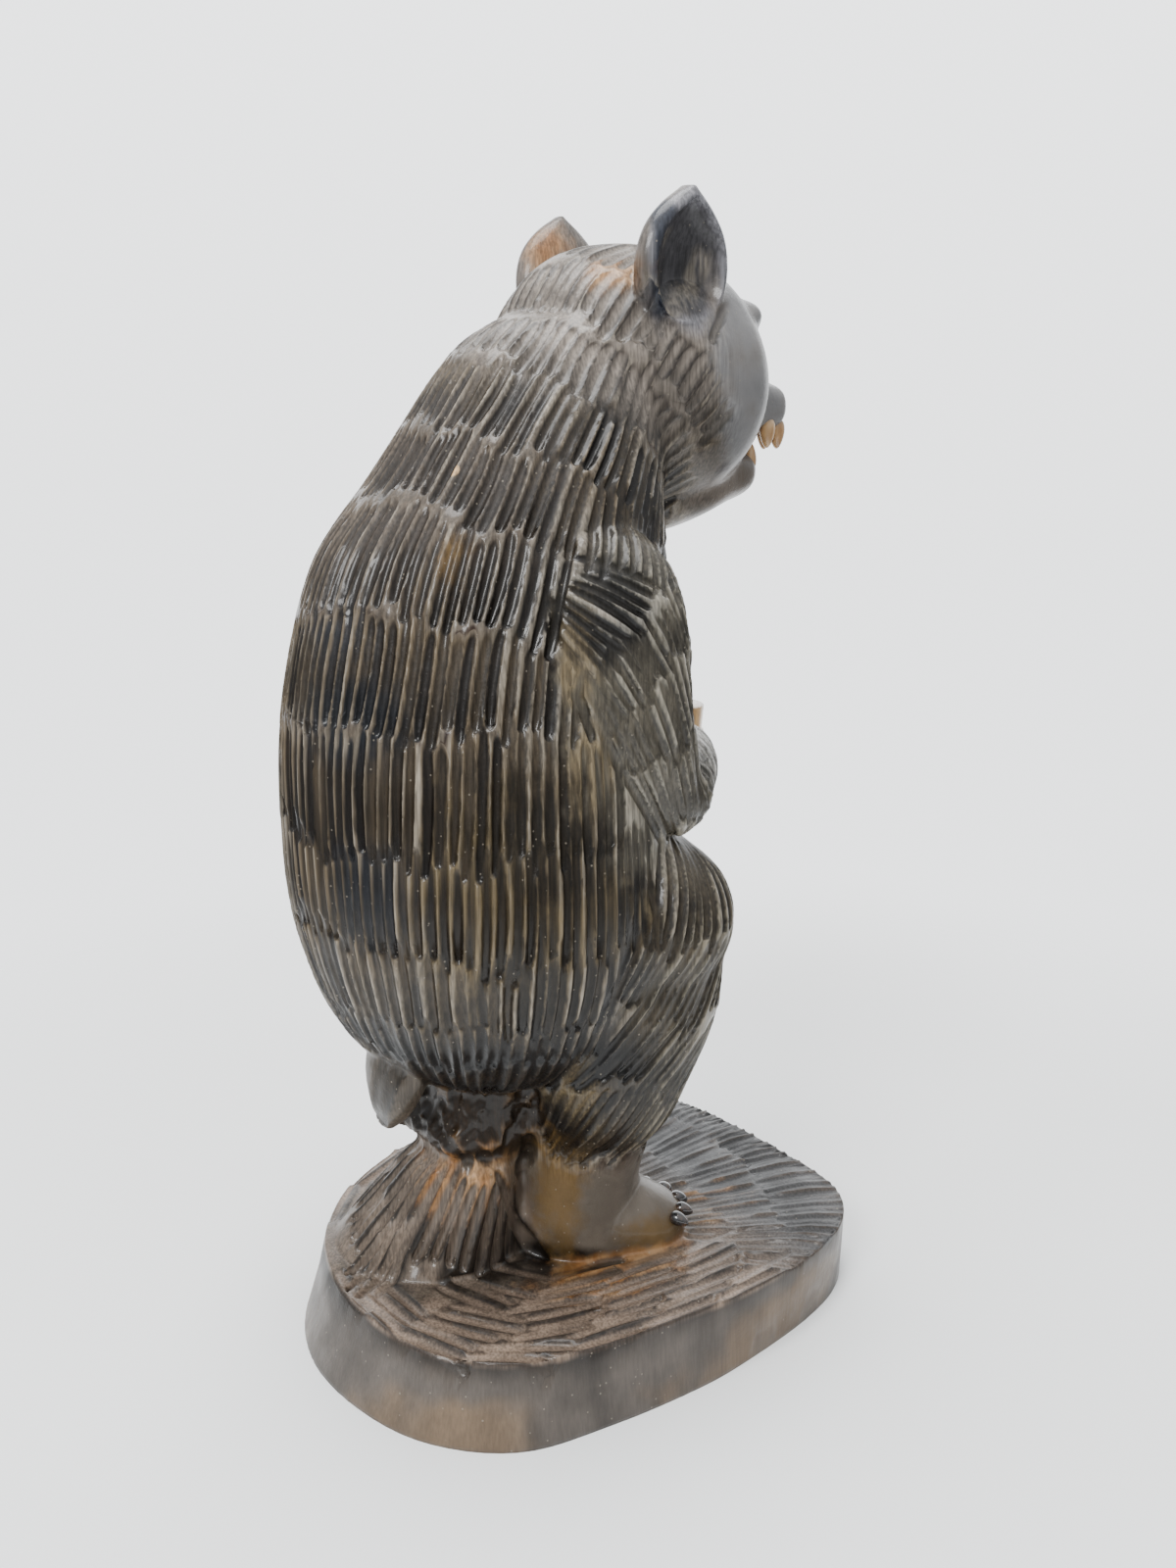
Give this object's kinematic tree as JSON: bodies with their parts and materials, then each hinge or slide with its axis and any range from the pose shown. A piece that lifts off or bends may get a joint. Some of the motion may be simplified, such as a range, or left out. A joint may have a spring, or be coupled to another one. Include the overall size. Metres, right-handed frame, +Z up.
{
  "type": "carved wooden bear",
  "caption": "Upright bear carved from one block of dark scorched wood, holding a honey tub, on its own plinth with gouge-cut fur.",
  "frame": {"origin": "centre of the plinth's underside", "axes": "+Z up, the bear faces -Y, its right hand is at -X"},
  "size_m": [0.1316, 0.1542, 0.3],
  "materials": {
    "scorched_wood": "varnished"
  },
  "bodies": {
    "root": {"carved_bear": "scorched_wood"}
  },
  "joints": []
}
